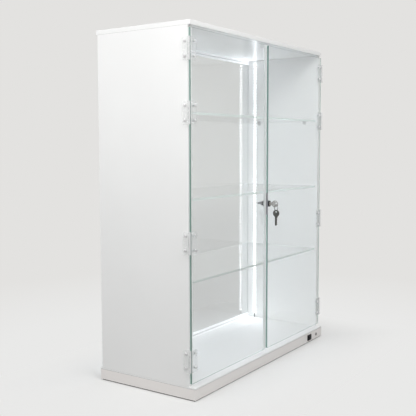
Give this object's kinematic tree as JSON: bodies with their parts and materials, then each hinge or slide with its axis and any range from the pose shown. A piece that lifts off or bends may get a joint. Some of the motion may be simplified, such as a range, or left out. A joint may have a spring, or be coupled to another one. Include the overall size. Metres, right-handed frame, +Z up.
{
  "type": "countertop display case",
  "caption": "Tall white countertop display case with hinged clear doors, glass shelves, lit side walls, a keyed lock and a plinth with a rocker switch and power inlet.",
  "frame": {"origin": "middle of the footprint, on the surface that the case stands on", "axes": "+Z up, +X to the right along the front, -Y out of the front doors"},
  "size_m": [0.6446, 0.2864, 0.8],
  "materials": {
    "white_board": "satin white",
    "clear_pane": "polished, green edge",
    "shelf_glass": "polished, green edge",
    "clear_plastic": "clear moulded",
    "edge_profile": "translucent",
    "mat_rubber": "matt black",
    "batten_wood": "bare",
    "black_plastic": "satin black",
    "black_metal": "black plated",
    "bright_metal": "bright",
    "key_steel": "nickel plated",
    "led_tape": "white film",
    "led_chip": "cool white light",
    "lead_jacket": "black jacket"
  },
  "bodies": {
    "case": {"back_pane": "clear_pane", "back_rail_bottom": "white_board", "back_rail_top": "white_board", "base_cover": "white_board", "base_deck": "white_board", "base_mat": "mat_rubber", "deck_battens": "batten_wood", "door_stop": "clear_plastic", "hinge_pins": "bright_metal", "hinge_screws": "bright_metal", "led_chips": "led_chip", "led_lead_left": "lead_jacket", "led_lead_right": "lead_jacket", "led_tape_left": "led_tape", "led_tape_right": "led_tape", "left_case_leaf_bottom": "clear_plastic", "left_case_leaf_lower": "clear_plastic", "left_case_leaf_top": "clear_plastic", "left_case_leaf_upper": "clear_plastic", "left_side_panel": "white_board", "plinth_back": "white_board", "plinth_front": "white_board", "plinth_left": "white_board", "plinth_right": "white_board", "power_jack": "black_plastic", "power_lead": "lead_jacket", "right_case_leaf_bottom": "clear_plastic", "right_case_leaf_lower": "clear_plastic", "right_case_leaf_top": "clear_plastic", "right_case_leaf_upper": "clear_plastic", "right_side_panel": "white_board", "shelf_lower": "shelf_glass", "shelf_middle": "shelf_glass", "shelf_studs": "clear_plastic", "shelf_upper": "shelf_glass", "switch_housing": "black_plastic", "top_panel": "white_board"},
    "left_door": {"left_door_pane": "clear_pane", "left_door_edge_profile": "edge_profile", "left_door_bolts": "bright_metal", "left_door_leaf_top": "clear_plastic", "left_door_leaf_upper": "clear_plastic", "left_door_leaf_lower": "clear_plastic", "left_door_leaf_bottom": "clear_plastic"},
    "right_door": {"right_door_pane": "clear_pane", "right_door_bolts": "bright_metal", "lock_bracket": "key_steel", "lock_barrel": "black_metal", "lock_sleeve": "bright_metal", "lock_nut": "black_metal", "right_door_leaf_top": "clear_plastic", "right_door_leaf_upper": "clear_plastic", "right_door_leaf_lower": "clear_plastic", "right_door_leaf_bottom": "clear_plastic"},
    "lock_core": {"lock_plug": "bright_metal", "lock_cam": "key_steel"},
    "door_key": {"door_key": "key_steel"},
    "key_ring": {"key_ring": "key_steel"},
    "spare_key": {"spare_key": "key_steel"},
    "rocker": {"switch_rocker": "black_plastic"}
  },
  "joints": [
    {"name": "left_door_hinge", "type": "hinge", "parent": "case", "child": "left_door", "pos_m": [-0.3183, -0.124, 0.4], "axis": [0, 0, -1], "range_deg": [0, 180]},
    {"name": "right_door_hinge", "type": "hinge", "parent": "case", "child": "right_door", "pos_m": [0.3183, -0.124, 0.4], "axis": [0, 0, 1], "range_deg": [0, 180]},
    {"name": "lock_turn", "type": "hinge", "parent": "right_door", "child": "lock_core", "pos_m": [0.0216, -0.1245, 0.4], "axis": [0, -1, 0], "range_deg": [0, 180]},
    {"name": "key_withdraw", "type": "slide", "parent": "lock_core", "child": "door_key", "axis": [0, -1, 0], "range_m": [0, 0.022]},
    {"name": "key_ring_swing", "type": "hinge", "parent": "door_key", "child": "key_ring", "pos_m": [0.0216, -0.1439, 0.3984], "axis": [1, 0, 0], "range_deg": [-60, 10]},
    {"name": "spare_key_swing", "type": "hinge", "parent": "key_ring", "child": "spare_key", "pos_m": [0.0216, -0.1439, 0.3824], "axis": [1, 0, 0], "range_deg": [-45, 6]},
    {"name": "rocker_tilt", "type": "hinge", "parent": "case", "child": "rocker", "pos_m": [0.236, -0.133, 0.01425], "axis": [0, 0, 1], "range_deg": [-16, 0]}
  ]
}
